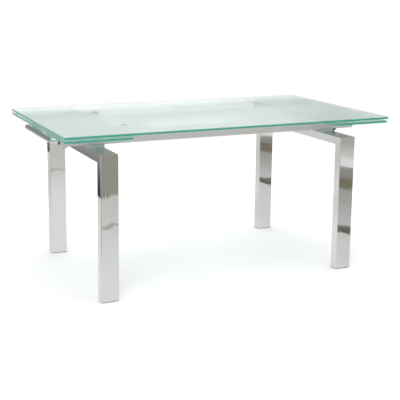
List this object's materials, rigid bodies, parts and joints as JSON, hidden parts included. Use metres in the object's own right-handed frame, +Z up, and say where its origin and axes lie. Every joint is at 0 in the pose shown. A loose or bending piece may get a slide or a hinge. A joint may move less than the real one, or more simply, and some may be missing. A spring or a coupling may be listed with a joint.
{
  "type": "extendable dining table",
  "caption": "Frosted glass dining table with a leaf stored under each end of the top, sliding on tube arms in side rails over chrome inverted-U leg frames.",
  "frame": {"origin": "on the floor, under the middle of the table top", "axes": "+X along the table's length, towards the right leaf; +Y across its width, away from the front; +Z up"},
  "size_m": [1.6, 0.9, 0.74],
  "materials": {
    "frosted_glass": "satin frosted faces, polished green edges",
    "polished_chrome": "mirror polished",
    "polished_steel": "polished",
    "satin_aluminium": "satin anodised",
    "black_plastic": "matte moulded",
    "white_nylon": "moulded nylon",
    "clear_rubber": "translucent matte",
    "zinc_steel": "zinc plated"
  },
  "bodies": {
    "table_frame": {"block_bolts": "zinc_steel", "block_nuts": "zinc_steel", "block_plugs": "black_plastic", "bond_discs": "polished_steel", "front_rail": "satin_aluminium", "front_slot_cover": "satin_aluminium", "glass_top": "frosted_glass", "left_beam": "polished_chrome", "left_front_block": "polished_steel", "left_front_bush": "black_plastic", "left_front_end_cap": "satin_aluminium", "left_front_foot": "black_plastic", "left_front_leg": "polished_chrome", "left_rear_block": "polished_steel", "left_rear_bush": "black_plastic", "left_rear_end_cap": "satin_aluminium", "left_rear_foot": "black_plastic", "left_rear_leg": "polished_chrome", "left_tie": "satin_aluminium", "post_plates": "zinc_steel", "post_screws": "zinc_steel", "rail_stops": "black_plastic", "rear_rail": "satin_aluminium", "rear_slot_cover": "satin_aluminium", "right_beam": "polished_chrome", "right_front_block": "polished_steel", "right_front_bush": "black_plastic", "right_front_end_cap": "satin_aluminium", "right_front_foot": "black_plastic", "right_front_leg": "polished_chrome", "right_rear_block": "polished_steel", "right_rear_bush": "black_plastic", "right_rear_end_cap": "satin_aluminium", "right_rear_foot": "black_plastic", "right_rear_leg": "polished_chrome", "right_tie": "satin_aluminium", "stop_sleeves": "clear_rubber", "top_posts": "polished_steel"},
    "left_leaf": {"left_bond_pads": "clear_rubber", "left_bracket_screws": "zinc_steel", "left_front_arm": "polished_chrome", "left_front_slider": "white_nylon", "left_leaf_brackets": "polished_steel", "left_leaf_glass": "frosted_glass", "left_pull_bar": "polished_chrome", "left_rear_arm": "polished_chrome", "left_rear_slider": "white_nylon"},
    "right_leaf": {"right_bond_pads": "clear_rubber", "right_bracket_screws": "zinc_steel", "right_front_arm": "polished_chrome", "right_front_slider": "white_nylon", "right_leaf_brackets": "polished_steel", "right_leaf_glass": "frosted_glass", "right_pull_bar": "polished_chrome", "right_rear_arm": "polished_chrome", "right_rear_slider": "white_nylon"}
  },
  "joints": [
    {"name": "left_leaf_slide", "type": "slide", "parent": "table_frame", "child": "left_leaf", "axis": [-1, 0, 0], "range_m": [0, 0.3]},
    {"name": "right_leaf_slide", "type": "slide", "parent": "table_frame", "child": "right_leaf", "axis": [1, 0, 0], "range_m": [0, 0.3]}
  ]
}
